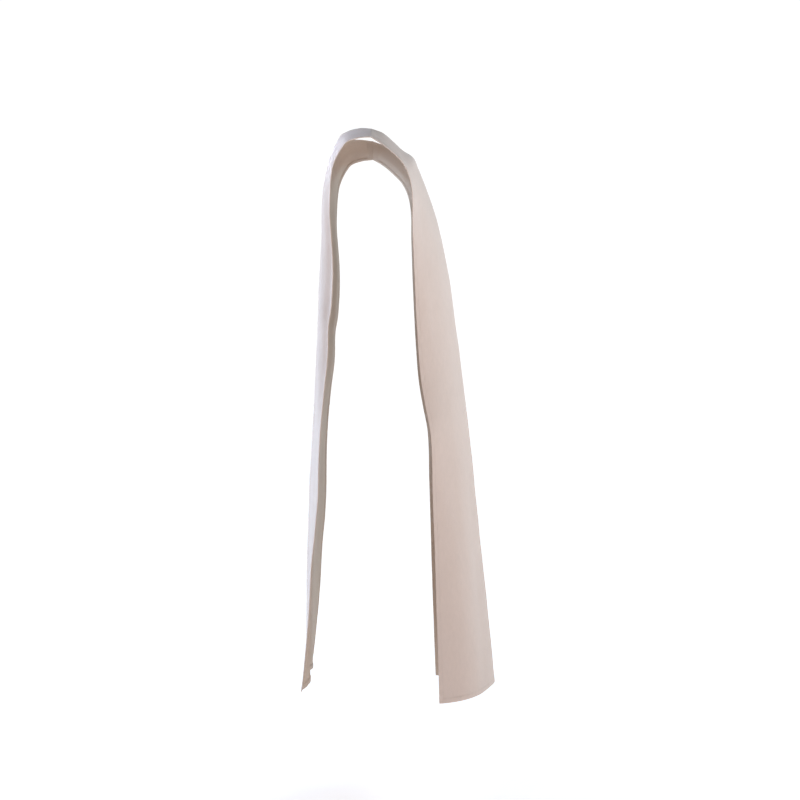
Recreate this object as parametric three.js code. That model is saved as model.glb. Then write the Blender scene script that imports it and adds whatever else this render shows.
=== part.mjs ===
// Scapular: a sleeveless over-garment of a religious habit, made of two long cloth panels that are
// joined at the shoulders and hang free in front and behind, with open sides and a round neck.
// It is modelled in the hollow form that it takes when it is worn.
//
// Millimetres, +Z up. The garment faces -Y, and the wearer's right side is -X. The origin is on the
// centre line, between the two shoulder seams and level with their ends at the neck.
//
// Each panel is worked out as hung cloth, and two measures of the flat cut name each of its points:
//   across  -1 at the side edge on the wearer's right, 0 on the centre line, 1 at the left side edge
//   along   how far down the lengthwise threads the point lies from the shoulder line
// The tables follow the centre line and the side edge down each panel. The threads keep their
// length, so how far the cloth drops below the shoulders and how far it spreads follow from that.

import * as THREE from 'three';

// Driving sizes.
const NECK_HALF_WIDTH = 100;       // centre line to the neck end of a shoulder seam
const SHOULDER_HALF_WIDTH = 197;   // half of the cut across the shoulders
const HEM_HALF_WIDTH = 275;        // half of the cut across the hem
const FLARE_LENGTH = 1330;         // length over which the side edges spread to the hem's width
const WALL = 1.5;                  // thickness of the cloth
const SEAM_GAP = 0.3;              // space between the two panels at a shoulder seam
const WRAP_ANGLE = 1.2;            // angle that a panel turns through, in radians, as it wraps round

// Fineness: the net of threads that the cloth is worked out on, and the faces that are built.
const THREADS_PER_SIDE = 48;
const THREAD_STEP = 5;
const STRAP_COLUMNS = 5;
const NECK_COLUMNS = 6;
const ROWS = 38;
const ROW_CROWDING = 1.35;         // above 1 draws the rows together over the shoulder

// Each section has the distance of the centre line and of the side edge from the shoulder line,
// level and outward. Over the shoulder a section also has their drop below the origin. The centre
// line starts in the neck opening, where there is no cloth, and reaches it at the neckline.
// Each fold has its place across the cut, its reach to each side, the length down the cut where it
// begins, and its height at the hem, which is below zero for a trough.
const FRONT = {
  name: 'front_panel',
  facing: -1,
  neckDepth: 96,                   // shoulder line to the middle of the neckline, level
  centreLength: 1349,              // shoulder line to the hem, down the centre line
  edgeLength: 1295,                // shoulder seam to the hem, down a side edge
  hemTurn: 2.3,                      // the higher, the nearer the side edges the hem's cut turns up
  sections: [
    { along: 0, centreOut: 0, centreDrop: -12.4, edgeOut: 0, edgeDrop: 31.4 },
    { along: 30, centreOut: 28, centreDrop: -2, edgeOut: 25.6, edgeDrop: 46.9 },
    { along: 60, centreOut: 50, centreDrop: 17.9, edgeOut: 48.6, edgeDrop: 66.1 },
    { along: 90, centreOut: 71, centreDrop: 39.4, edgeOut: 69.6, edgeDrop: 87.3 },
    { along: 120, centreOut: 95.6, centreDrop: 56.4, edgeOut: 83.6, edgeDrop: 114 },
    { along: 150, centreOut: 108, edgeOut: 91 },
    { along: 180, centreOut: 119.5, edgeOut: 93.4 },
    { along: 220, centreOut: 134, edgeOut: 93.4 },
    { along: 270, centreOut: 149.5, edgeOut: 94.4 },
    { along: 330, centreOut: 164, edgeOut: 96.4 },
    { along: 400, centreOut: 177, edgeOut: 99.6 },
    { along: 500, centreOut: 190.5, edgeOut: 105 },
    { along: 580, centreOut: 200.8, edgeOut: 111.8 },
    { along: 640, centreOut: 208.5, edgeOut: 122 },
    { along: 700, centreOut: 216.4, edgeOut: 132.8 },
    { along: 750, centreOut: 223, edgeOut: 135.8 },
    { along: 820, centreOut: 231, edgeOut: 137 },
    { along: 920, centreOut: 241.5, edgeOut: 140.6 },
    { along: 1050, centreOut: 254.6, edgeOut: 144.8 },
    { along: 1200, centreOut: 270.4, edgeOut: 149.4 },
    { along: 1350, centreOut: 285.2, edgeOut: 154 },
  ],
  folds: [
    { across: -0.56, reach: 0.2, begins: 500, height: 3 },
    { across: -0.2, reach: 0.19, begins: 620, height: -3.5 },
    { across: 0.22, reach: 0.2, begins: 560, height: -5 },
    { across: 0.6, reach: 0.22, begins: 460, height: 4 },
  ],
};

const BACK = {
  name: 'back_panel',
  facing: 1,
  neckDepth: 73,
  centreLength: 1331,
  edgeLength: 1274,
  hemTurn: 2.3,
  sections: [
    { along: 0, centreOut: 0, centreDrop: -12.4, edgeOut: 0, edgeDrop: 31.4 },
    { along: 30, centreOut: 30, centreDrop: -12.2, edgeOut: 29.8, edgeDrop: 35.3 },
    { along: 60, centreOut: 58.6, centreDrop: -3.6, edgeOut: 57, edgeDrop: 46.8 },
    { along: 75, centreOut: 71.5, centreDrop: 3.5, edgeOut: 66, edgeDrop: 58.9 },
    { along: 90, centreOut: 79.8, centreDrop: 15.5, edgeOut: 73.6, edgeDrop: 71.8 },
    { along: 120, centreOut: 91.8, centreDrop: 43, edgeOut: 84.6, edgeDrop: 99.7 },
    { along: 150, centreOut: 101.6, edgeOut: 89 },
    { along: 180, centreOut: 109.6, edgeOut: 90.4 },
    { along: 220, centreOut: 115.2, edgeOut: 91.2 },
    { along: 270, centreOut: 117.6, edgeOut: 88 },
    { along: 320, centreOut: 119.8, edgeOut: 84.4 },
    { along: 400, centreOut: 122.8, edgeOut: 85.4 },
    { along: 440, centreOut: 124.2, edgeOut: 88.8 },
    { along: 465, centreOut: 124.4, edgeOut: 93 },
    { along: 540, centreOut: 125.2, edgeOut: 95.6 },
    { along: 600, centreOut: 126.2, edgeOut: 102 },
    { along: 700, centreOut: 131, edgeOut: 111.4 },
    { along: 780, centreOut: 136.6, edgeOut: 115.6 },
    { along: 850, centreOut: 141.2, edgeOut: 116.9 },
    { along: 920, centreOut: 144.6, edgeOut: 122.1 },
    { along: 1000, centreOut: 147.8, edgeOut: 130.4 },
    { along: 1100, centreOut: 151.8, edgeOut: 136 },
    { along: 1200, centreOut: 154, edgeOut: 144.2 },
    { along: 1260, centreOut: 154, edgeOut: 150.8 },
    { along: 1340, centreOut: 154, edgeOut: 163 },
  ],
  folds: [
    { across: -0.5, reach: 0.33, begins: 430, height: -17 },
    { across: 0.02, reach: 0.14, begins: 700, height: 2.5 },
    { across: 0.39, reach: 0.2, begins: 520, height: -13.5 },
  ],
};

const NECK_ACROSS = NECK_HALF_WIDTH / SHOULDER_HALF_WIDTH;

// Below the shoulders the drop from section to section is what the threads' length leaves for it.
function withDrops(sections) {
  const filled = [];
  for (const section of sections) {
    const above = filled.at(-1);
    const fall = (out, drop) => {
      const length = section.along - above.along;
      return above[drop] + Math.sqrt(length ** 2 - (section[out] - above[out]) ** 2);
    };
    filled.push({
      ...section,
      centreDrop: section.centreDrop ?? fall('centreOut', 'centreDrop'),
      edgeDrop: section.edgeDrop ?? fall('edgeOut', 'edgeDrop'),
    });
  }
  return filled;
}

// A smooth curve through one column of the sections, with slopes taken from their neighbours.
function curveThrough(sections, column) {
  const stations = sections.map((section) => section.along);
  const values = sections.map((section) => section[column]);
  const last = sections.length - 1;
  const chord = (i) => (values[i + 1] - values[i]) / (stations[i + 1] - stations[i]);
  const slopes = values.map((_, i) => {
    if (i === 0) return chord(0);
    if (i === last) return chord(last - 1);
    const before = stations[i] - stations[i - 1];
    const after = stations[i + 1] - stations[i];
    return (chord(i - 1) * after + chord(i) * before) / (before + after);
  });
  return (along) => {
    let i = 0;
    while (i < last - 1 && along > stations[i + 1]) i += 1;
    const span = stations[i + 1] - stations[i];
    const t = (along - stations[i]) / span;
    const start = values[i] * (1 + 2 * t) * (1 - t) ** 2 + slopes[i] * span * t * (1 - t) ** 2;
    const end = values[i + 1] * (3 - 2 * t) * t ** 2 - slopes[i + 1] * span * (1 - t) * t ** 2;
    return start + end;
  };
}

// The share of the way from the centre line to the side edge, in an even wrap round the body.
function wrap(across) {
  return (1 - Math.cos(WRAP_ANGLE * across)) / (1 - Math.cos(WRAP_ANGLE));
}

// A fold deepens from where it begins to the hem, and dies away softly to each side.
function foldHeight(fold, across, along, hem) {
  const grown = THREE.MathUtils.smoothstep(along, fold.begins, hem) * fold.height;
  return grown * Math.exp(-(((across - fold.across) / fold.reach) ** 2));
}

function halfWidthOfCut(along) {
  return THREE.MathUtils.lerp(SHOULDER_HALF_WIDTH, HEM_HALF_WIDTH, along / FLARE_LENGTH);
}

// The hung cloth as a net of points, net[thread][step], from the right side edge to the left.
function hungNet(panel) {
  const sections = withDrops(panel.sections);
  const centreOut = curveThrough(sections, 'centreOut');
  const centreDrop = curveThrough(sections, 'centreDrop');
  const edgeOut = curveThrough(sections, 'edgeOut');
  const edgeDrop = curveThrough(sections, 'edgeDrop');
  const steps = Math.ceil(panel.centreLength / THREAD_STEP);
  const net = [];
  for (let thread = -THREADS_PER_SIDE; thread <= THREADS_PER_SIDE; thread += 1) {
    const across = thread / THREADS_PER_SIDE;
    const points = [];
    for (let step = 0; step <= steps; step += 1) {
      const along = step * THREAD_STEP;
      let out = THREE.MathUtils.lerp(centreOut(along), edgeOut(along), wrap(across));
      for (const fold of panel.folds) out += foldHeight(fold, across, along, panel.centreLength);
      const drop = THREE.MathUtils.lerp(centreDrop(along), edgeDrop(along), wrap(across));
      points.push(new THREE.Vector3(0, panel.facing * (out + SEAM_GAP / 2), -drop));
    }
    net.push(points);
  }
  // The crosswise threads keep their length too: the spread is what their rise and fall leave.
  for (const side of [-1, 1]) {
    for (let count = 1; count <= THREADS_PER_SIDE; count += 1) {
      const outer = net[THREADS_PER_SIDE + side * count];
      const inner = net[THREADS_PER_SIDE + side * (count - 1)];
      outer.forEach((point, step) => {
        const length = halfWidthOfCut(step * THREAD_STEP) / THREADS_PER_SIDE;
        const rise = Math.hypot(point.y - inner[step].y, point.z - inner[step].z);
        point.x = inner[step].x + side * Math.sqrt(length ** 2 - rise ** 2);
      });
    }
  }
  return net;
}

// A point of the hung cloth, blended from the four corners of its place in the net.
function clothPoint(net, across, along) {
  const u = (across + 1) * THREADS_PER_SIDE;
  const v = along / THREAD_STEP;
  const thread = Math.min(Math.floor(u), net.length - 2);
  const step = Math.min(Math.floor(v), net[0].length - 2);
  const upper = net[thread][step].clone().lerp(net[thread + 1][step], u - thread);
  const lower = net[thread][step + 1].clone().lerp(net[thread + 1][step + 1], u - thread);
  return upper.lerp(lower, v - step);
}

// Where a lengthwise thread starts: on the shoulder seam, or on the oval of the neckline.
function topOfCut(net, panel, across) {
  if (Math.abs(across) >= NECK_ACROSS) return 0;
  const ovalHalfWidth = clothPoint(net, NECK_ACROSS, 0).x;
  let inside = 0;
  let outside = 2 * panel.neckDepth;
  while (outside - inside > 0.01) {
    const middle = (inside + outside) / 2;
    const point = clothPoint(net, across, middle);
    const reach = Math.hypot(point.x / ovalHalfWidth, point.y / panel.neckDepth);
    if (reach < 1) inside = middle;
    else outside = middle;
  }
  return outside;
}

function hemOfCut(panel, across) {
  const turned = Math.abs(across) ** panel.hemTurn;
  return THREE.MathUtils.lerp(panel.centreLength, panel.edgeLength, turned);
}

// Columns run from side edge to side edge, with one at each neck end of the shoulder seams. Those
// that start on the neckline are spaced evenly round its oval.
function columnStations() {
  const half = [];
  for (let i = 0; i < NECK_COLUMNS; i += 1) {
    half.push(NECK_ACROSS * Math.sin((Math.PI / 2) * (i / NECK_COLUMNS)));
  }
  for (let i = 0; i <= STRAP_COLUMNS; i += 1) {
    half.push(THREE.MathUtils.lerp(NECK_ACROSS, 1, i / STRAP_COLUMNS));
  }
  const mirrored = half.slice(1).reverse().map((across) => -across);
  return [...mirrored, ...half];
}

// The outer face of a panel, as rows of points from the shoulders to the hem.
function outerFace(net, panel, stations) {
  const tops = stations.map((across) => topOfCut(net, panel, across));
  const rows = [];
  for (let row = 0; row <= ROWS; row += 1) {
    const share = (row / ROWS) ** ROW_CROWDING;
    rows.push(stations.map((across, column) => {
      const along = THREE.MathUtils.lerp(tops[column], hemOfCut(panel, across), share);
      return clothPoint(net, across, along);
    }));
  }
  return rows;
}

// The inner face lies one wall inside the outer face. Along the shoulder seams the offset stays in
// the plane of the seam, so that the two panels meet there face to face.
function innerFace(outer, panel, stations) {
  const lastRow = outer.length - 1;
  const lastColumn = stations.length - 1;
  return outer.map((points, row) => points.map((point, column) => {
    const left = points[Math.max(column - 1, 0)];
    const right = points[Math.min(column + 1, lastColumn)];
    const above = outer[Math.max(row - 1, 0)][column];
    const below = outer[Math.min(row + 1, lastRow)][column];
    const crosswise = right.clone().sub(left);
    const lengthwise = above.clone().sub(below);
    const outward = crosswise.cross(lengthwise).multiplyScalar(-panel.facing);
    if (row === 0 && Math.abs(stations[column]) >= NECK_ACROSS) outward.y = 0;
    return point.clone().addScaledVector(outward.normalize(), -WALL);
  }));
}

// A closed wall: the outer face, the inner face, and a rim round the edges that joins them.
function wallGeometry(outer, inner, facing) {
  const rows = outer.length;
  const columns = outer[0].length;
  const innerStart = rows * columns;
  const positions = [...outer.flat(), ...inner.flat()].flatMap((point) => point.toArray());
  const triangles = [];
  const addQuad = (a, b, c, d) => {
    if (facing < 0) triangles.push(a, b, c, a, c, d);
    else triangles.push(a, c, b, a, d, c);
  };
  for (let row = 0; row < rows - 1; row += 1) {
    for (let column = 0; column < columns - 1; column += 1) {
      const corner = row * columns + column;
      const below = corner + columns;
      const behind = innerStart + corner;
      const belowBehind = innerStart + below;
      // The two halves are split along mirrored diagonals, which follow the slope of the neckline.
      if (column < (columns - 1) / 2) {
        addQuad(below, below + 1, corner + 1, corner);
        addQuad(behind + 1, belowBehind + 1, belowBehind, behind);
      } else {
        addQuad(corner, below, below + 1, corner + 1);
        addQuad(behind, behind + 1, belowBehind + 1, belowBehind);
      }
    }
  }
  const border = [];
  for (let column = 0; column < columns - 1; column += 1) border.push(column);
  for (let row = 0; row < rows - 1; row += 1) border.push(row * columns + columns - 1);
  for (let column = columns - 1; column > 0; column -= 1) {
    border.push((rows - 1) * columns + column);
  }
  for (let row = rows - 1; row > 0; row -= 1) border.push(row * columns);
  border.forEach((here, i) => {
    const next = border[(i + 1) % border.length];
    addQuad(here, next, innerStart + next, innerStart + here);
  });
  const geometry = new THREE.BufferGeometry();
  geometry.setAttribute('position', new THREE.Float32BufferAttribute(positions, 3));
  geometry.setIndex(triangles);
  geometry.computeVertexNormals();
  return geometry;
}

function panelMesh(panel, colour) {
  const net = hungNet(panel);
  const stations = columnStations();
  const outer = outerFace(net, panel, stations);
  const inner = innerFace(outer, panel, stations);
  const material = new THREE.MeshStandardMaterial({ color: colour, roughness: 0.9, metalness: 0 });
  const mesh = new THREE.Mesh(wallGeometry(outer, inner, panel.facing), material);
  mesh.name = panel.name;
  return mesh;
}

const scapular = new THREE.Group();
scapular.add(panelMesh(FRONT, '#d9cdc0'));
scapular.add(panelMesh(BACK, '#e3dcd6'));

export default scapular;
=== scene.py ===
"""Scapular: the visible cloth, its hems, seams and stitching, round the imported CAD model.

Each panel is worked out as hung cloth, on the formulas that shape the CAD panels, and cut out again
on a finer net. A point of the cut is named by (x, along): how far it lies to the wearer's left of
the centre line, and how far down the lengthwise threads from the shoulder line. Millimetres are
used until a mesh is made.
"""
import math

import bpy
import numpy as np
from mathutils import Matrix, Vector, kdtree
from mathutils.geometry import delaunay_2d_cdt


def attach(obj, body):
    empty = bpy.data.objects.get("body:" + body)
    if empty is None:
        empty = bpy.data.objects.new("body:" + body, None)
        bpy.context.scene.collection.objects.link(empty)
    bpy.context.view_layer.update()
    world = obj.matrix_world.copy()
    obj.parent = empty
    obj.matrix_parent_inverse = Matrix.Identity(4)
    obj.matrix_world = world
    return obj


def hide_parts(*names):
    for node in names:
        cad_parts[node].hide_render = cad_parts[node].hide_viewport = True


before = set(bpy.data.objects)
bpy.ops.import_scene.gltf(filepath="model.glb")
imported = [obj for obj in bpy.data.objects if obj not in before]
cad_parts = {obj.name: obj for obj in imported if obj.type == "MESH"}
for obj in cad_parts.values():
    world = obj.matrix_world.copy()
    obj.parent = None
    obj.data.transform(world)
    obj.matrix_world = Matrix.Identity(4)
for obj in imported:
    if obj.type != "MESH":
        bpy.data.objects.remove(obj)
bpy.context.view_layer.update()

MM = 0.001

# ---------------------------------------------------------------- the cut and the hang, as in CAD

NECK_HALF_WIDTH = 100.0
SHOULDER_HALF_WIDTH = 197.0
HEM_HALF_WIDTH = 275.0
FLARE_LENGTH = 1330.0
WRAP_ANGLE = 1.2
NECK_ACROSS = NECK_HALF_WIDTH / SHOULDER_HALF_WIDTH

# The net of threads that the cloth is worked out on.
THREADS_PER_SIDE = 160
THREAD_STEP = 2.5
STEPS_PAST_HEM = 4

# Points on the dense lines that follow the edges of the cut.
HEM_POINTS = 1401
SIDE_POINTS = 2601
SEAM_POINTS = 201
NECK_POINTS = 721
NECK_HALVINGS = 24     # of the search for the neckline down each thread

# The panels. "out" is how far the cloth stands in front of or behind the shoulder line, and
# "drop" how far it hangs below the origin, on the centre line and on the side edge.
#   shoulder: along, centre out, centre drop, edge out, edge drop
#   hang:     along, centre out, edge out; the threads' length gives the drops
#   folds:    place across and reach, in half widths, then where it begins and height at the hem
#   hem_turn: the power with which the hem rises from the centre to the side
FRONT = {
    "name": "front_panel",
    "facing": -1,
    "neck_depth": 96,
    "centre_length": 1349,
    "edge_length": 1295,
    "hem_turn": 2.3,
    "shoulder": [
        (0, 0, -12.4, 0, 31.4),
        (30, 28, -2, 25.6, 46.9),
        (60, 50, 17.9, 48.6, 66.1),
        (90, 71, 39.4, 69.6, 87.3),
        (120, 95.6, 56.4, 83.6, 114),
    ],
    "hang": [
        (150, 108, 91),
        (180, 119.5, 93.4),
        (220, 134, 93.4),
        (270, 149.5, 94.4),
        (330, 164, 96.4),
        (400, 177, 99.6),
        (500, 190.5, 105),
        (580, 200.8, 111.8),
        (640, 208.5, 122),
        (700, 216.4, 132.8),
        (750, 223, 135.8),
        (820, 231, 137),
        (920, 241.5, 140.6),
        (1050, 254.6, 144.8),
        (1200, 270.4, 149.4),
        (1350, 285.2, 154),
    ],
    "folds": [
        (-0.56, 0.2, 500, 3),
        (-0.2, 0.19, 620, -3.5),
        (0.22, 0.2, 560, -5),
        (0.6, 0.22, 460, 4),
    ],
    "seed": 11,
}

BACK = {
    "name": "back_panel",
    "facing": 1,
    "neck_depth": 73,
    "centre_length": 1331,
    "edge_length": 1274,
    "hem_turn": 2.3,
    "shoulder": [
        (0, 0, -12.4, 0, 31.4),
        (30, 30, -12.2, 29.8, 35.3),
        (60, 58.6, -3.6, 57, 46.8),
        (75, 71.5, 3.5, 66, 58.9),
        (90, 79.8, 15.5, 73.6, 71.8),
        (120, 91.8, 43, 84.6, 99.7),
    ],
    "hang": [
        (150, 101.6, 89),
        (180, 109.6, 90.4),
        (220, 115.2, 91.2),
        (270, 117.6, 88),
        (320, 119.8, 84.4),
        (400, 122.8, 85.4),
        (440, 124.2, 88.8),
        (465, 124.4, 93),
        (540, 125.2, 95.6),
        (600, 126.2, 102),
        (700, 131, 111.4),
        (780, 136.6, 115.6),
        (850, 141.2, 116.9),
        (920, 144.6, 122.1),
        (1000, 147.8, 130.4),
        (1100, 151.8, 136),
        (1200, 154, 144.2),
        (1260, 154, 150.8),
        (1340, 154, 163),
    ],
    "folds": [
        (-0.5, 0.33, 430, -17),
        (0.02, 0.14, 700, 2.5),
        (0.39, 0.2, 520, -13.5),
    ],
    "seed": 23,
}

# ---------------------------------------------------------------- the making of the cloth

CLOTH = 1.1            # thickness of one layer of the twill
TURNED_LAYER = 1.05    # thickness that a turned layer adds, in layers
SEAM_ALLOWANCE = 12.0  # pressed open under the shoulder seams
STEP_BEFORE = 0.5      # the step where a turned layer ends starts this far before its end
STEP_AFTER = 0.4       # and is over this far after it

HEM_STITCH = 10.0      # from the folded edge to the stitching, down the sides and along the hem
NECK_STITCH = 6.3      # and round the neck

# Hemmed edges: width of the hem, and distance of its stitching from the folded edge.
HEMS = {
    "side": (12.0, HEM_STITCH),
    "hem": (12.0, HEM_STITCH),
    "neck": (8.0, NECK_STITCH),
}
HEM_PROUD = 0.28       # how far the outer face stands out over a hem
HEM_SOFTENS = 2.5      # width, up to the stitching, over which it comes down again
GROOVE_REACH = 0.9     # half width of the groove that the stitching pulls in
OUTER_GROOVE = 0.3
INNER_GROOVE = 0.22

NECK_SHIFT = 4.0       # added to distances from the neck edge where they share the hems' measure

EDGE_DEPTH = 0.6       # how far the tip of a folded edge lies under the outer surface
OUTER_ROUNDING = 1.0   # width over which the outer face rounds to the tip
INNER_ROUNDING = 1.5   # and the inner face

# The mesh: spacing of points along the edges, over the open cloth, and of rows in from an edge.
STATION_STEP = 4.0
LATTICE_STEP = 5.4
ROWS_IN = (0.2, 0.6, 1.2, 2.6, 4.4, 5.6, 6.3, 7.2, 8.0, 8.7, 9.5, 10.3, 11.3, 12.0, 12.8, 15, 18.5)
ROOM = 0.6             # share of a step that neighbouring rows leave free between them
ON_EDGE = 0.02         # points nearer to an edge than this lie on it
SAME_POINT = 1e-4
INSIDE_TRIANGLES = 1   # the triangulation's output that keeps what lies inside the outline
POINTS_AT_ONCE = 2000

STITCH_LINE_STEP = 1   # spacing of the points that a line of stitching is first drawn through
STITCH_PITCH = 3.4
STITCH_LENGTH = 2.7
THREAD_RADIUS = 0.24
THREAD_SIDES = 6
THREAD_GIRTHS = (0.35, 0.95, 1.0, 0.95, 0.35)  # from end to end of a stitch, in radii
THREAD_RISE = 1.3      # from a stitch's ends to its middle, in radii
THREAD_SUNK = 0.7      # depth of its ends in the cloth, in radii


def smoothstep(value, low, high):
    t = np.clip((value - low) / (high - low), 0, 1)
    return t * t * (3 - 2 * t)


def curve_through(stations, values, at):
    """A smooth curve through values, with slopes taken from their neighbours."""
    stations, values = np.array(stations, float), np.array(values, float)
    chord = np.diff(values) / np.diff(stations)
    slopes = np.concatenate([chord[:1], chord, chord[-1:]])[: len(values)]
    before, after = np.diff(stations)[:-1], np.diff(stations)[1:]
    slopes[1:-1] = (chord[:-1] * after + chord[1:] * before) / (before + after)
    slopes[-1] = chord[-1]
    i = np.clip(np.searchsorted(stations, at) - 1, 0, len(stations) - 2)
    span = stations[i + 1] - stations[i]
    t = (at - stations[i]) / span
    start = values[i] * (1 + 2 * t) * (1 - t) ** 2 + slopes[i] * span * t * (1 - t) ** 2
    end = values[i + 1] * (3 - 2 * t) * t**2 - slopes[i + 1] * span * (1 - t) * t**2
    return start + end


def filled_sections(panel):
    """Every section with its drops: below the shoulder they are what the threads' length leaves."""
    rows = [list(row) for row in panel["shoulder"]]
    for along, centre_out, edge_out in panel["hang"]:
        above = rows[-1]
        length = along - above[0]
        centre_fall = math.sqrt(length**2 - (centre_out - above[1]) ** 2)
        edge_fall = math.sqrt(length**2 - (edge_out - above[3]) ** 2)
        rows.append([along, centre_out, above[2] + centre_fall, edge_out, above[4] + edge_fall])
    return np.array(rows, float).T


def half_width(along):
    """Half the width of the cut, which flares evenly down to the hem."""
    return SHOULDER_HALF_WIDTH + (HEM_HALF_WIDTH - SHOULDER_HALF_WIDTH) * along / FLARE_LENGTH


def wrap(across):
    """How far the cloth has turned from its centre line (0) to its side edge (1)."""
    return (1 - np.cos(WRAP_ANGLE * across)) / (1 - math.cos(WRAP_ANGLE))


class Cloth:
    """The outer surface of one hung panel, before its creases, as a net of points and normals."""

    def __init__(self, panel):
        self.panel = panel
        steps = math.ceil(panel["centre_length"] / THREAD_STEP) + STEPS_PAST_HEM
        along = np.arange(steps + 1) * THREAD_STEP
        across = np.arange(-THREADS_PER_SIDE, THREADS_PER_SIDE + 1) / THREADS_PER_SIDE
        stations, *columns = filled_sections(panel)
        centre_out, centre_drop, edge_out, edge_drop = [
            curve_through(stations, column, along) for column in columns
        ]
        turn = wrap(across)[:, None]
        out = centre_out + (edge_out - centre_out) * turn
        for place, reach, begins, height in panel["folds"]:
            grown = smoothstep(along, begins, panel["centre_length"]) * height
            out = out + grown * np.exp(-(((across[:, None] - place) / reach) ** 2))
        y = panel["facing"] * out
        z = -(centre_drop + (edge_drop - centre_drop) * turn)
        length = half_width(along) / THREADS_PER_SIDE
        spread = np.sqrt(length**2 - np.diff(y, axis=0) ** 2 - np.diff(z, axis=0) ** 2)
        middle = THREADS_PER_SIDE
        x = np.zeros_like(y)
        x[middle + 1 :] = np.cumsum(spread[middle:], axis=0)
        x[:middle] = -np.cumsum(spread[:middle][::-1], axis=0)[::-1]
        self.points = np.stack([x, y, z], axis=-1)
        crosswise = np.gradient(self.points, axis=0)
        upward = -np.gradient(self.points, axis=1)
        normals = np.cross(crosswise, upward) * -panel["facing"]
        self.normals = normals / np.linalg.norm(normals, axis=-1, keepdims=True)

    def at(self, x, along):
        """Points and normals of the hung cloth at places in the cut."""
        u = (x / half_width(along) + 1) * THREADS_PER_SIDE
        v = along / THREAD_STEP
        i = np.clip(np.floor(u).astype(int), 0, self.points.shape[0] - 2)
        j = np.clip(np.floor(v).astype(int), 0, self.points.shape[1] - 2)
        a, b = (u - i)[:, None], (v - j)[:, None]
        blended = []
        for net in (self.points, self.normals):
            upper = net[i, j] * (1 - a) + net[i + 1, j] * a
            lower = net[i, j + 1] * (1 - a) + net[i + 1, j + 1] * a
            blended.append(upper * (1 - b) + lower * b)
        points, normals = blended
        return points, normals / np.linalg.norm(normals, axis=1, keepdims=True)


def neckline(cloth):
    """The neckline in the cut, from the wearer's right to left: an oval in plan as it is worn."""
    across = NECK_ACROSS * np.sin(np.linspace(-math.pi / 2, math.pi / 2, NECK_POINTS))
    # Down each thread it lies somewhere between the shoulder line and twice its own depth.
    depth = cloth.panel["neck_depth"]
    inside, outside = np.zeros_like(across), np.full_like(across, 2.0 * depth)
    oval = cloth.at(np.array([NECK_HALF_WIDTH]), np.array([0.0]))[0][0, 0]
    for _ in range(NECK_HALVINGS):
        middle = (inside + outside) / 2
        points, _ = cloth.at(across * half_width(middle), middle)
        reach = np.hypot(points[:, 0] / oval, points[:, 1] / depth)
        inside = np.where(reach < 1, middle, inside)
        outside = np.where(reach < 1, outside, middle)
    along = (inside + outside) / 2
    along[[0, -1]] = 0
    return np.stack([across * half_width(along), -along], axis=1)


def edges_of_cut(cloth):
    """The six edges of the cut as dense lines of (x, -along), anticlockwise from the right hem."""
    panel = cloth.panel
    share = np.linspace(-1, 1, HEM_POINTS)
    hem_along = panel["centre_length"] + (panel["edge_length"] - panel["centre_length"]) * (
        np.abs(share) ** panel["hem_turn"]
    )
    hem = np.stack([share * half_width(hem_along), -hem_along], axis=1)
    neck = neckline(cloth)
    left_top, right_top = (SHOULDER_HALF_WIDTH, 0), (-SHOULDER_HALF_WIDTH, 0)
    return [
        ("hem", hem),
        ("side", np.linspace(hem[-1], left_top, SIDE_POINTS)),
        ("seam", np.linspace(left_top, neck[-1], SEAM_POINTS)),
        ("neck", neck[::-1]),
        ("seam", np.linspace(neck[0], right_top, SEAM_POINTS)),
        ("side", np.linspace(right_top, hem[0], SIDE_POINTS)),
    ]


def evenly(line, step):
    """Points at even steps along a dense line, from end to end, with the inward normals there."""
    pieces = np.linalg.norm(np.diff(line, axis=0), axis=1)
    run = np.concatenate([[0], np.cumsum(pieces)])
    count = max(2, round(run[-1] / step) + 1)
    stations = np.linspace(0, run[-1], count)

    def points_at(stations):
        return np.stack([np.interp(stations, run, line[:, k]) for k in (0, 1)], axis=1)

    reach = step / 4
    ahead = points_at(np.minimum(stations + reach, run[-1]))
    behind = points_at(np.maximum(stations - reach, 0))
    tangent = ahead - behind
    tangent /= np.linalg.norm(tangent, axis=1, keepdims=True)
    return points_at(stations), np.stack([-tangent[:, 1], tangent[:, 0]], axis=1)


class Edge:
    """One edge of the cut, which can say how far points lie from it."""

    def __init__(self, kind, line):
        self.kind, self.line = kind, line
        self.tree = kdtree.KDTree(len(line))
        for i, point in enumerate(line):
            self.tree.insert((point[0], point[1], 0), i)
        self.tree.balance()
        self.stations, self.inward = evenly(line, STATION_STEP)

    def distance(self, points):
        """How far points lie from the edge, by the spans on both sides of its nearest point."""
        last = len(self.line) - 1
        nearest = np.array([self.tree.find((p[0], p[1], 0))[1] for p in points])
        best = np.full(len(points), np.inf)
        for first in (np.maximum(nearest - 1, 0), np.minimum(nearest, last - 1)):
            start, end = self.line[first], self.line[first + 1]
            way = end - start
            t = np.clip(((points - start) * way).sum(1) / (way**2).sum(1), 0, 1)
            best = np.minimum(best, np.linalg.norm(points - start - way * t[:, None], axis=1))
        return best


def within(edges, points, inset, but=None):
    """Which points lie at least inset from every edge, apart from the one named in but."""
    clear = np.ones(len(points), bool)
    for i, edge in enumerate(edges):
        if i != but:
            clear &= edge.distance(points) >= inset
    return clear


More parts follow.
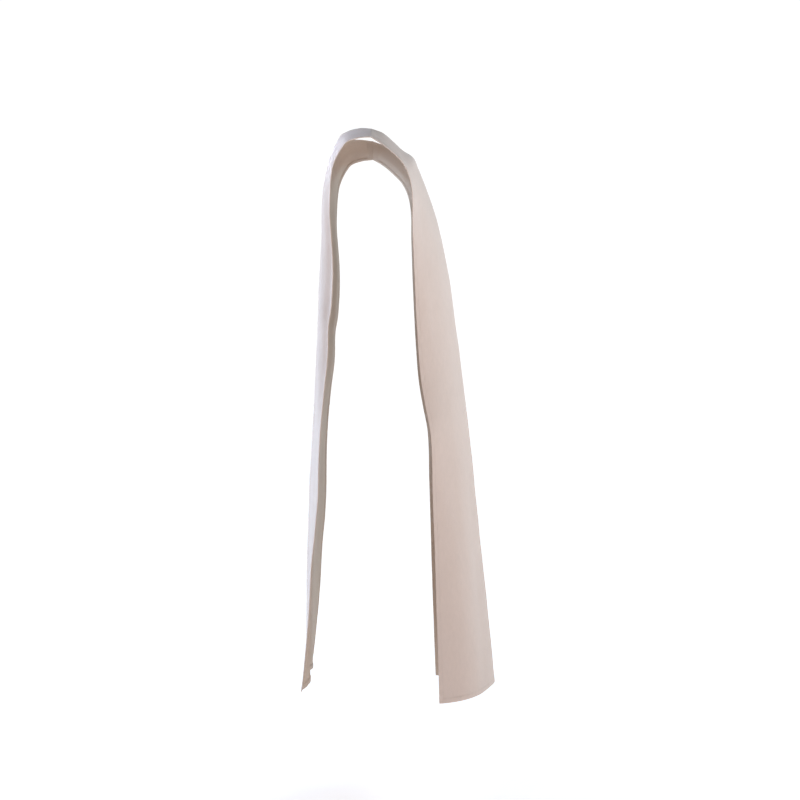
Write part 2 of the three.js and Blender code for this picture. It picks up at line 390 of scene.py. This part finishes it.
def inside_cut(points, outline):
    """Which points lie inside the outline, by the crossings of a line to one side."""
    x, y = points[:, 0][:, None], points[:, 1][:, None]
    inside = np.zeros(len(points), bool)
    start, end = outline, np.roll(outline, -1, axis=0)
    for first in range(0, len(points), POINTS_AT_ONCE):
        some = slice(first, first + POINTS_AT_ONCE)
        spans = (start[:, 1] > y[some]) != (end[:, 1] > y[some])
        rise = np.where(end[:, 1] == start[:, 1], 1, end[:, 1] - start[:, 1])
        meets = start[:, 0] + (y[some] - start[:, 1]) * (end[:, 0] - start[:, 0]) / rise
        inside[some] = (spans & (x[some] < meets)).sum(1) % 2 == 1
    return inside


def net_of_cut(edges):
    """Points and triangles over the whole cut: rows along its edges, and a lattice between."""
    outline = np.concatenate([edge.stations[:-1] for edge in edges])
    points = [outline]
    for row in ROWS_IN:
        for i, edge in enumerate(edges):
            moved = edge.stations + edge.inward * row
            room = min(row, STATION_STEP) * ROOM
            keep = within(edges, moved, row + room * (row > 1), but=i)
            keep &= inside_cut(moved, outline)
            points.append(moved[keep])
        points.append(mitres(edges, row))
    low, high = outline.min(0), outline.max(0)
    rise = LATTICE_STEP * math.sqrt(3) / 2
    columns = np.arange(low[0], high[0], LATTICE_STEP)
    rows = np.arange(low[1], high[1], rise)
    x, y = np.meshgrid(columns, rows)
    x = x + (np.arange(len(rows)) % 2 * LATTICE_STEP / 2)[:, None]
    lattice = np.stack([x.ravel(), y.ravel()], axis=1)
    lattice = lattice[inside_cut(lattice, outline)]
    lattice = lattice[within(edges, lattice, ROWS_IN[-1] + LATTICE_STEP * ROOM)]
    points = np.concatenate([*points, lattice])
    loop = list(range(len(outline)))
    vectors = [Vector(point) for point in points]
    made = delaunay_2d_cdt(vectors, [], [loop], INSIDE_TRIANGLES, SAME_POINT)
    return np.array([tuple(point) for point in made[0]]), np.array(made[2])


def mitres(edges, row):
    """Where the rows of two neighbouring edges meet, at each corner of the cut."""
    corners = []
    for edge, after in zip(edges, edges[1:] + edges[:1]):
        normals = np.array([edge.inward[-1], after.inward[0]])
        corners.append(edge.stations[-1] + np.linalg.solve(normals, np.array([row, row])))
    return np.array(corners)


class Ripple:
    """A smooth, uneven height made of waves that run over the cut, the same each run.

    The waves' lengths lie between two given ones, and are stretched down the cut.
    """

    def __init__(self, seed, lengths, stretch, count=14):
        draw = np.random.default_rng(seed)
        turns = draw.uniform(0, 2 * math.pi, count)
        short = np.exp(draw.uniform(math.log(lengths[0]), math.log(lengths[1]), count))
        self.kx = 2 * math.pi / short * np.cos(turns)
        self.ky = 2 * math.pi / short * np.sin(turns) / stretch
        self.phase = draw.uniform(0, 2 * math.pi, count)
        self.share = math.sqrt(2 / count)

    def at(self, x, along):
        height = np.zeros_like(x)
        for kx, ky, phase in zip(self.kx, self.ky, self.phase):
            height += np.sin(kx * x + ky * along + phase)
        return height * self.share


# The ripples: shortest and longest wave across the cut, and how much longer they are down it.
DRAPE_WAVES = (110, 260), 5
RUMPLE_WAVES = (34, 80), 2
PUCKER_WAVES = (13, 26), 1

DRAPE_HEIGHT = 0.3     # at the shoulders
DRAPE_GROWTH = 0.9     # what it gains further down
DRAPE_GROWS = 150, 1200
RUMPLE_HEIGHT = 0.16
PUCKER_HEIGHT = 0.2
PUCKER_REACH = 8       # to each side of the stitching
CREASE_ENDS = 0.3      # share of a crease's length over which each of its ends dies away
SMOOTH_AT_SEAMS = 16   # no ripple or crease reaches a shoulder seam, and all have grown by here

# Creases: x and along of one end, x and along of the other end, half width, height. They are
# soft, and below zero they are troughs.
CREASES = {
    "front_panel": [
        (-156, -12, -146, 150, 15, -2.4),
        (154, -12, 150, 140, 16, -2.0),
        (-116, -10, -96, 120, 13, 1.0),
        (118, -10, 98, 110, 13, 0.9),
        (-120, 60, -60, 230, 20, 0.9),
        (-172, 110, -150, 330, 20, -1.2),
        (112, 70, 66, 210, 18, 1.0),
        (176, 120, 140, 320, 22, -1.2),
        (-150, 430, -40, 520, 26, 0.9),
        (30, 480, 160, 400, 24, -1.0),
        (-60, 560, 60, 600, 30, 0.8),
        (-190, 700, -165, 1010, 20, -0.9),
        (-34, 300, -52, 1060, 28, 1.7),
        (12, 170, 18, 980, 32, -3.2),
        (98, 150, 128, 860, 32, 3.4),
        (62, 620, 84, 1500, 30, 4.4),
        (-90, 780, -104, 1400, 26, -1.8),
        (196, 700, 228, 1480, 28, 4.2),
        (148, 460, 178, 1120, 26, -3.8),
    ],
    "back_panel": [
        (-154, -12, -150, 120, 15, -2.2),
        (152, -12, 148, 130, 15, -1.9),
        (-114, -10, -98, 110, 13, 0.9),
        (116, -10, 94, 120, 13, 1.0),
        (-176, 80, -210, 740, 15, -6.6),
        (178, 100, 210, 690, 16, -4.8),
        (-128, 60, -158, 800, 34, 6.4),
        (126, 80, 156, 760, 36, 5.6),
        (-70, 330, -110, 470, 22, 0.8),
        (60, 340, 110, 460, 24, 0.9),
        (-8, 90, -6, 620, 34, -3.6),
        (68, 110, 84, 760, 32, -3.2),
        (-80, 140, -96, 760, 32, -3.0),
        (-34, 380, -62, 1360, 32, 3.8),
        (30, 460, 42, 1480, 32, -3.6),
        (-180, 700, -214, 1180, 18, 1.0),
        (176, 640, 214, 1190, 20, 1.2),
        (98, 600, 122, 1480, 32, 3.6),
        (-122, 720, -146, 1480, 26, 3.0),
    ],
}


class Panel:
    """One cut piece as it hangs: its surface with every small crease, hem and seam."""

    def __init__(self, panel):
        self.panel = panel
        self.cloth = Cloth(panel)
        self.edges = [Edge(kind, line) for kind, line in edges_of_cut(self.cloth)]
        seed = panel["seed"]
        self.drape = Ripple(seed, *DRAPE_WAVES)
        self.rumple = Ripple(seed + 1, *RUMPLE_WAVES)
        self.pucker = Ripple(seed + 2, *PUCKER_WAVES)

    def distances(self, points):
        """How far points lie from the nearest edge of each kind."""
        away = {}
        for edge in self.edges:
            found = edge.distance(points)
            away[edge.kind] = np.minimum(away.get(edge.kind, np.inf), found)
        return away

    def creases(self, x, along, away):
        """Height of the ripples, creases and puckers over the smooth hang. All end at the seams."""
        grown = smoothstep(along, *DRAPE_GROWS)
        height = self.drape.at(x, along) * (DRAPE_HEIGHT + DRAPE_GROWTH * grown)
        height += self.rumple.at(x, along) * RUMPLE_HEIGHT
        for x0, along0, x1, along1, width, tall in CREASES[self.panel["name"]]:
            way = np.array([x1 - x0, along1 - along0], float)
            length = math.hypot(*way)
            way /= length
            run = (x - x0) * way[0] + (along - along0) * way[1]
            side = (x - x0) * way[1] - (along - along0) * way[0]
            end = CREASE_ENDS * length
            ends = smoothstep(run, 0, end) * smoothstep(length - run, 0, end)
            height += tall * ends * np.exp(-((side / width) ** 2))
        for kind, (_, stitch) in HEMS.items():
            near = np.exp(-(((away[kind] - stitch) / PUCKER_REACH) ** 2))
            height += self.pucker.at(x, along) * PUCKER_HEIGHT * near
        return height * smoothstep(away["seam"], 0, SMOOTH_AT_SEAMS)

    def layers(self, away):
        """How far the outer face stands out, and how deep the inner face lies, for each point."""
        outer = np.zeros(len(away["hem"]))
        depth = np.full(len(outer), CLOTH)
        fold = np.full(len(outer), np.inf)
        for kind, (width, stitch) in HEMS.items():
            inset = away[kind]
            turned = self.turned_in(inset, width)
            stitch_groove = np.exp(-(((inset - stitch) / GROOVE_REACH) ** 2))
            proud = HEM_PROUD * (1 - smoothstep(inset, stitch - HEM_SOFTENS, stitch))
            outer = np.maximum(outer, proud)
            outer = outer - OUTER_GROOVE * stitch_groove
            depth = np.maximum(depth, CLOTH + turned * CLOTH * TURNED_LAYER)
            depth = depth - INNER_GROOVE * stitch_groove
            fold = np.minimum(fold, inset)
        depth = np.maximum(depth, CLOTH + self.turned_in(away["seam"], SEAM_ALLOWANCE) * CLOTH)
        fold = np.minimum(fold, away["seam"])
        # Every edge is a rounded fold, at whose tip both faces meet.
        outer = outer + (-EDGE_DEPTH - outer) * self.rounded(fold, OUTER_ROUNDING)
        depth = depth + (EDGE_DEPTH - depth) * self.rounded(fold, INNER_ROUNDING)
        return outer, depth

    @staticmethod
    def turned_in(inset, width):
        """1 where a second layer lies under the cloth, and 0 past its end."""
        return 1 - smoothstep(inset, width - STEP_BEFORE, width + STEP_AFTER)

    @staticmethod
    def rounded(inset, width):
        """1 at the tip of a fold, down to 0 along a quarter circle."""
        return 1 - np.sqrt(1 - (1 - np.clip(inset / width, 0, 1)) ** 2)

    def faces(self, x, along, away=None):
        """Points of the outer face and of the inner face, and the outward normals, in metres."""
        if away is None:
            away = self.distances(np.stack([x, -along], axis=1))
        points, normals = self.cloth.at(x, along)
        outer, depth = self.layers(away)
        lift = self.creases(x, along, away)
        return (
            (points + normals * (lift + outer)[:, None]) * MM,
            (points + normals * (lift - depth)[:, None]) * MM,
            normals,
        )


def new_object(name, vertices, triangles, material):
    mesh = bpy.data.meshes.new(name)
    mesh.from_pydata(vertices, [], triangles)
    mesh.polygons.foreach_set("use_smooth", np.ones(len(mesh.polygons), bool))
    mesh.materials.append(material)
    mesh.update()
    obj = bpy.data.objects.new(name, mesh)
    bpy.context.collection.objects.link(obj)
    return obj


def point_attribute(obj, name, kind, field, values):
    attribute = obj.data.attributes.new(name, kind, "POINT")
    attribute.data.foreach_set(field, values.astype(np.float32).ravel())


def cloth_object(piece, name, material):
    """The panel as one closed sheet: outer and inner faces that meet in the folds of its edges.

    The area of its cut comes back too, in square metres.
    """
    cut, triangles = net_of_cut(piece.edges)
    along = -cut[:, 1]
    away = piece.distances(cut)
    outer, inner, _ = piece.faces(cut[:, 0], along, away)
    nearest = np.min(np.stack(list(away.values())), axis=0)
    count = len(cut)
    own = nearest > ON_EDGE
    inner_index = np.arange(count)
    inner_index[own] = count + np.arange(own.sum())
    if piece.panel["facing"] > 0:
        triangles = triangles[:, ::-1]
    behind = inner_index[triangles][:, ::-1]
    obj = new_object(
        name,
        np.concatenate([outer, inner[own]]),
        np.concatenate([triangles, behind]).tolist(),
        material,
    )
    # For the material: each point's place in the cut, and 1 on the inner face, which the material
    # paints darker and warmer as shade.
    flat = np.stack([cut[:, 0], along, np.zeros(count)], axis=1)
    flat_inner = np.stack([cut[own, 0], along[own], np.ones(own.sum())], axis=1)
    places = np.concatenate([flat, flat_inner]) * (MM, MM, 1)
    point_attribute(obj, "cut", "FLOAT_VECTOR", "vector", places)
    # And its distance from a hemmed edge, which at every line of stitching is near HEM_STITCH.
    hemmed = np.minimum(np.minimum(away["side"], away["hem"]), away["neck"] + NECK_SHIFT)
    point_attribute(obj, "edge", "FLOAT", "value", np.concatenate([hemmed, hemmed[own]]))
    corners = cut[triangles]
    spans = corners[:, 1:] - corners[:, :1]
    area = np.abs(spans[:, 0, 0] * spans[:, 1, 1] - spans[:, 0, 1] * spans[:, 1, 0]).sum() / 2
    return obj, area * MM * MM


def stitch_lines(piece):
    """The stitches' two ends in the cut, all round the hems: rows of (x, along, x, along)."""
    stitches = []
    inset_of = {kind: stitch for kind, (_, stitch) in HEMS.items()}
    for i, edge in enumerate(piece.edges):
        if edge.kind not in HEMS:
            continue
        points, inward = evenly(edge.line, STITCH_LINE_STEP)
        line = points + inward * inset_of[edge.kind]
        keep = np.ones(len(line), bool)
        for j, other in enumerate(piece.edges):
            if j != i:
                keep &= other.distance(line) >= inset_of.get(other.kind, 0.0)
        line = line[keep]
        stations, _ = evenly(line, STITCH_PITCH)
        ways = np.diff(stations, axis=0)
        starts = stations[:-1]
        ends = starts + ways * (STITCH_LENGTH / STITCH_PITCH)
        stitches.append(np.concatenate([starts, ends], axis=1))
    return np.concatenate(stitches) * (1, -1, 1, -1)


def tube_triangles(rings, sides):
    """The faces of a tube whose points go round ring by ring, closed at both ends."""
    triangles = []
    for ring in range(rings - 1):
        for side in range(sides):
            after = (side + 1) % sides
            a, b = ring * sides + side, ring * sides + after
            c, d = (ring + 1) * sides + after, (ring + 1) * sides + side
            triangles += [(a, b, c), (a, c, d)]
    last = (rings - 1) * sides
    for side in range(1, sides - 1):
        triangles.append((0, side + 1, side))
        triangles.append((last, last + side, last + side + 1))
    return np.array(triangles)


def stitching_object(piece, name, material):
    """Every stitch as a short raised thread, on both faces of the hems."""
    stitches = stitch_lines(piece)
    rings, sides = len(THREAD_GIRTHS), THREAD_SIDES
    shares = np.linspace(0, 1, rings)
    # A thread dips into the cloth at both ends of a stitch.
    rise = THREAD_RADIUS * (np.sin(np.pi * shares) ** 0.5 * THREAD_RISE - THREAD_SUNK)
    girth = THREAD_RADIUS * np.array(THREAD_GIRTHS)
    x = stitches[:, 0:1] + (stitches[:, 2:3] - stitches[:, 0:1]) * shares
    along = stitches[:, 1:2] + (stitches[:, 3:4] - stitches[:, 1:2]) * shares
    outer, inner, normals = piece.faces(x.ravel(), along.ravel())
    normals = normals.reshape(-1, rings, 3)
    vertices, triangles = [], []
    tube = tube_triangles(rings, sides)
    turns = np.arange(sides)[:, None] * 2 * math.pi / sides
    for face, way in ((outer, 1), (inner, -1)):
        middle = face.reshape(-1, rings, 3) + normals * (way * rise * MM)[None, :, None]
        tangent = np.gradient(middle, axis=1)
        tangent /= np.linalg.norm(tangent, axis=2, keepdims=True)
        beside = np.cross(normals, tangent)
        beside /= np.linalg.norm(beside, axis=2, keepdims=True)
        over = np.cross(tangent, beside)
        spokes = beside[:, :, None] * np.cos(turns) + over[:, :, None] * np.sin(turns)
        points = middle[:, :, None] + spokes * (girth * MM)[None, :, None, None]
        start = sum(len(part) for part in vertices)
        vertices.append(points.reshape(-1, 3))
        base = start + np.arange(len(middle))[:, None] * (rings * sides)
        triangles.append((base[:, :, None] + tube[None]).reshape(-1, 3))
    faces = np.concatenate(triangles).tolist()
    return new_object(name, np.concatenate(vertices), faces, material)


# ---------------------------------------------------------------- materials

CREAM = (0.70, 0.553, 0.486)
# The inner face: the same cloth, painted darker and warmer as shade.
CREAM_INSIDE_SHADED = (0.52, 0.40, 0.32)

# The twill's patterns: how many to a metre across the cut and down it.
SLUBS_DOWN = (1400, 60, 0)
SLUBS_OVER = (50, 1300, 0)
MOTTLE = (160, 50, 0)
BLOTCHES = 9
RIBS_OVER, RIBS_DOWN = 3000, 3600  # the slope of the diagonal ribs, in radians to a metre
RIB_WOBBLES, RIB_WOBBLE = 900, 2.4

# How strongly each shows in the colour.
BLOTCH_TONES = 0.965, 1.02
MOTTLE_LOW, MOTTLE_SHARE = 0.95, 0.10
DOWN_SHARE, OVER_SHARE, RIB_SHARE, WEAVE_LOW = 0.10, 0.08, 0.05, 0.885
# Painted shade in the groove along each line of stitching:
GROOVE_PAINTED_SHADE = 0.05      # taken from the colour along the stitching
GROOVE_SHADE_REACH = 0.2, 1.5  # from the line of stitching to where the shade is gone, in millimetres
EDGE_PALER = 0.035     # added to it on a folded edge
PALER_EDGE_REACH = 0, 2.5

TWILL_ROUGH = 0.84, 0.94
RIB_RELIEF = 0.6       # height of the ribs beside that of the slubs

THREAD_TONES = 0.88, 1.05
THREAD_PLY = 2600


def nodes_of(name):
    material = bpy.data.materials.new(name)
    material.use_nodes = True
    tree = material.node_tree
    return material, tree, tree.nodes["Principled BSDF"]


def fill(tree, socket, value):
    """Links a socket to another one, or gives it a constant."""
    if isinstance(value, bpy.types.NodeSocket):
        tree.links.new(value, socket)
    else:
        socket.default_value = value


def node(tree, kind, inputs=None, **settings):
    made = tree.nodes.new(kind)
    for key, value in settings.items():
        setattr(made, key, value)
    for key, value in (inputs or {}).items():
        fill(tree, made.inputs[key], value)
    return made


def dress(tree, shader, inputs):
    for key, value in inputs.items():
        fill(tree, shader.inputs[key], value)


def maths(tree, operation, *values):
    made = node(tree, "ShaderNodeMath", dict(enumerate(values)), operation=operation)
    return made.outputs[0]


def mixed(tree, factor, a, b, blend="MIX"):
    """Two colours mixed. The numbers are those of the mix node's colour sockets."""
    inputs = {0: factor, 6: a, 7: b}
    return node(tree, "ShaderNodeMix", inputs, data_type="RGBA", blend_type=blend).outputs[2]


def noise(tree, vector, scale, detail=2.0, roughness=0.5):
    inputs = {"Vector": vector, "Scale": scale, "Detail": detail, "Roughness": roughness}
    return node(tree, "ShaderNodeTexNoise", inputs).outputs["Fac"]


def ranged(tree, value, before, after, **settings):
    """A value taken from one range to another, and held at its ends."""
    inputs = {
        "Value": value,
        "From Min": before[0],
        "From Max": before[1],
        "To Min": after[0],
        "To Max": after[1],
    }
    return node(tree, "ShaderNodeMapRange", inputs, **settings).outputs[0]


def bump(tree, height, strength, distance):
    inputs = {"Strength": strength, "Distance": distance, "Height": height}
    return node(tree, "ShaderNodeBump", inputs).outputs[0]


def attribute_of(tree, name):
    return node(tree, "ShaderNodeAttribute", attribute_name=name, attribute_type="GEOMETRY")


def toned(colour, by):
    """A colour made lighter or darker, with the alpha that a socket takes."""
    return (*[min(channel * by, 1) for channel in colour], 1)


def twill(name, colour, inside):
    """Closely woven twill, whose threads follow the cut."""
    material, tree, shader = nodes_of(name)
    place = attribute_of(tree, "cut").outputs["Vector"]
    x, along, inner = node(tree, "ShaderNodeSeparateXYZ", {0: place}).outputs
    inset = attribute_of(tree, "edge").outputs["Fac"]

    def add(a, b):
        return maths(tree, "ADD", a, b)

    def times(a, b):
        return maths(tree, "MULTIPLY", a, b)

    def pattern(scale):
        inputs = {0: place, 1: scale}
        stretched = node(tree, "ShaderNodeVectorMath", inputs, operation="MULTIPLY").outputs[0]
        return noise(tree, stretched, scale=1.0, detail=3.0, roughness=0.6)

    # Threads: slubs that run down and across, and the diagonal ribs of the twill.
    down, over, mottle = pattern(SLUBS_DOWN), pattern(SLUBS_OVER), pattern(MOTTLE)
    slope = add(times(x, RIBS_OVER), times(along, RIBS_DOWN))
    wobble = times(noise(tree, place, RIB_WOBBLES), RIB_WOBBLE)
    wave = maths(tree, "SINE", add(slope, wobble))
    ribs = maths(tree, "MULTIPLY_ADD", wave, 0.5, 0.5)
    blotch = noise(tree, place, BLOTCHES, detail=3.0, roughness=0.55)

    dark, pale = [toned(colour, by) for by in BLOTCH_TONES]
    # Blotches of tone at random over the cloth, and the inner face painted darker and warmer as
    # shade.
    tone_and_inner_shade = mixed(tree, inner, mixed(tree, blotch, dark, pale), (*inside, 1))
    grain = maths(tree, "MULTIPLY_ADD", mottle, MOTTLE_SHARE, MOTTLE_LOW)
    threads = add(times(down, DOWN_SHARE), times(over, OVER_SHARE))
    weave = add(add(threads, times(ribs, RIB_SHARE)), WEAVE_LOW)
    value = times(grain, weave)
    # Painted shade in the groove along the stitching line, and a folded edge a little paler.
    gap = maths(tree, "ABSOLUTE", maths(tree, "SUBTRACT", inset, HEM_STITCH))
    stitch_groove = ranged(tree, gap, GROOVE_SHADE_REACH, (1, 0))
    value = maths(tree, "SUBTRACT", value, times(stitch_groove, GROOVE_PAINTED_SHADE))
    paler_edge = ranged(tree, inset, PALER_EDGE_REACH, (1, 0))
    value = add(value, times(paler_edge, EDGE_PALER))
    grey = node(tree, "ShaderNodeCombineColor", {0: value, 1: value, 2: value}).outputs[0]

    relief = add(times(ribs, RIB_RELIEF), add(down, over))
    dress(tree, shader, {
        "Base Color": mixed(tree, 1.0, tone_and_inner_shade, grey, "MULTIPLY"),
        "Roughness": ranged(tree, mottle, (0.3, 0.7), TWILL_ROUGH),
        "Normal": bump(tree, relief, strength=0.35, distance=0.0002),
        "Sheen Weight": 0.12,
        "Sheen Roughness": 0.45,
        "Sheen Tint": (1.0, 0.97, 0.94, 1),
        "Specular IOR Level": 0.25,
    })
    return material


def thread(name, colour):
    """Spun sewing thread, a little paler and glossier than the cloth."""
    material, tree, shader = nodes_of(name)
    place = node(tree, "ShaderNodeTexCoord").outputs["Object"]
    ply = noise(tree, place, THREAD_PLY)
    dull, pale = [toned(colour, by) for by in THREAD_TONES]
    dress(tree, shader, {
        "Base Color": mixed(tree, ply, dull, pale),
        "Normal": bump(tree, ply, strength=0.3, distance=0.00008),
        "Roughness": 0.62,
        "Sheen Weight": 0.1,
    })
    return material


# ---------------------------------------------------------------- the garment

front_twill = twill("front_twill", CREAM, CREAM_INSIDE_SHADED)
back_twill = twill("back_twill", CREAM, CREAM_INSIDE_SHADED)
sewing_thread = thread("sewing_thread", CREAM)

for panel, material in ((FRONT, front_twill), (BACK, back_twill)):
    piece = Panel(panel)
    side = panel["name"].split("_")[0]
    cloth, area = cloth_object(piece, f"{side}_cloth", material)
    stitching = stitching_object(piece, f"{side}_stitching", sewing_thread)
    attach(cloth, "root")
    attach(stitching, "root")
    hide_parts(panel["name"])

# ---------------------------------------------------------------- floor, light and camera

FLOOR_Z = -1.515
FLOOR_SIZE = 600       # metres, so that it ends at the horizon
# The floor glows, as painted light that also lights the cloth from below. The lamps light only the
# middle of the floor, so it glows a little more towards the horizon, where it shows as even white;
# near the middle its weaker glow paints part of a faint shadow pool, and is warmer against the
# lamps' blue.
GLOW_NEAR_SHADOW_POOL, GLOW_FAR = (0.50, 0.43, 0.39, 1), (0.96, 0.96, 0.96, 1)
GLOW_RANGE = 0.8, 3.6  # metres from the middle

# A white backdrop for the camera. On the cloth it sheds a softer light, which fades overhead.
SKY_SEEN, SKY_LIGHT = 1.05, 0.32
SKY_OVERHEAD = 0.3     # share of the light that is left there
SKY_FADES = 0, 0.8     # how steeply upwards, as the height of a direction of length 1

# Square soft lamps: name, place, what they point at, width, power, colour, and half a turn of
# spread, or less for a narrow beam.
WIDE = math.pi
LAMPS = [
    ("lower_back", (0.85, 1.85, -1.3), (0, 0.12, -1.15), 1.2, 43, (0.48, 0.73, 1.0), WIDE),
    ("upper_back", (0.25, 1.8, 0.0), (-0.05, 0.1, -0.5), 0.9, 15.5, (0.52, 0.74, 1.0), WIDE),
    ("shoulder", (-0.35, 1.35, 0.27), (-0.15, 0.06, 0.13), 0.2, 0.67, (0.57, 0.75, 1.0), 0.5),
    ("crown", (-0.1, 0.7, 1.5), (-0.1, 0.1, 0), 0.8, 3.4, (0.74, 0.80, 0.96), WIDE),
    ("front_wash", (1.4, -2.25, 0.85), (0, -0.1, -0.15), 1.2, 46, (0.54, 0.82, 1.0), WIDE),
    ("key", (-1.25, -1.6, -0.15), (-0.1, -0.2, -0.6), 1.0, 11.5, (0.93, 0.95, 0.96), WIDE),
    ("far_rake", (2.1, 0.5, 0.3), (0.15, 0, -0.5), 0.9, 10, (0.88, 0.94, 1.0), WIDE),
]


def glowing_floor_paper():
    """Pale paper with a painted glow, weaker and a little warmer where the lamps shine on it, so
    that it paints a faint shadow pool there.
    """
    material, tree, shader = nodes_of("glowing_pale_floor")
    middle = node(tree, "ShaderNodeTexCoord").outputs["Object"]
    length = node(tree, "ShaderNodeVectorMath", {0: middle}, operation="LENGTH")
    far = ranged(
        tree, length.outputs["Value"], GLOW_RANGE, (0, 1), interpolation_type="SMOOTHSTEP"
    )
    dress(tree, shader, {
        "Base Color": (0.93, 0.93, 0.94, 1),
        "Roughness": 0.9,
        "Specular IOR Level": 0.1,
        "Emission Color": mixed(tree, far, GLOW_NEAR_SHADOW_POOL, GLOW_FAR),
        "Emission Strength": 1.0,
    })
    return material


def light_sky(world):
    world.use_nodes = True
    tree = world.node_tree
    way = node(tree, "ShaderNodeTexCoord").outputs["Generated"]
    rise = node(tree, "ShaderNodeSeparateXYZ", {0: way}).outputs[2]
    shed = ranged(tree, rise, SKY_FADES, (SKY_LIGHT, SKY_OVERHEAD * SKY_LIGHT))
    seen = node(tree, "ShaderNodeLightPath").outputs["Is Camera Ray"]
    lit = maths(tree, "MULTIPLY", shed, maths(tree, "SUBTRACT", 1.0, seen))
    strength = maths(tree, "MULTIPLY_ADD", seen, SKY_SEEN, lit)
    dress(tree, tree.nodes["Background"], {"Color": (1, 1, 1, 1), "Strength": strength})


def aimed(name, data, place, way):
    """An object that looks along way, as lamps and cameras do down their own -Z."""
    obj = bpy.data.objects.new(name, data)
    obj.location = place
    obj.rotation_mode = "QUATERNION"
    obj.rotation_quaternion = way.to_track_quat("-Z", "Y")
    bpy.context.collection.objects.link(obj)
    return obj


def area_light(name, place, target, size, power, colour, spread):
    data = bpy.data.lights.new(name, "AREA")
    data.shape = "SQUARE"
    data.size = size
    data.energy = power
    data.spread = spread
    data.color = colour
    lamp = aimed(name, data, place, Vector(target) - Vector(place))
    lamp.visible_camera = False


bpy.ops.mesh.primitive_plane_add(size=FLOOR_SIZE, location=(0, 0, FLOOR_Z))
floor = bpy.context.object
floor.name = "floor"
floor.data.materials.append(glowing_floor_paper())

world = bpy.data.worlds.new("studio")
bpy.context.scene.world = world
light_sky(world)

for lamp in LAMPS:
    area_light(*lamp)

camera_data = bpy.data.cameras.new("camera")
camera_data.sensor_width = 36
camera_data.lens = 81.45
camera = aimed("camera", camera_data, (-4.2, -0.065, -0.615), Vector((1, 0, 0)))
bpy.context.scene.camera = camera

bpy.context.scene.view_settings.view_transform = "Standard"
bpy.context.scene.view_settings.look = "None"
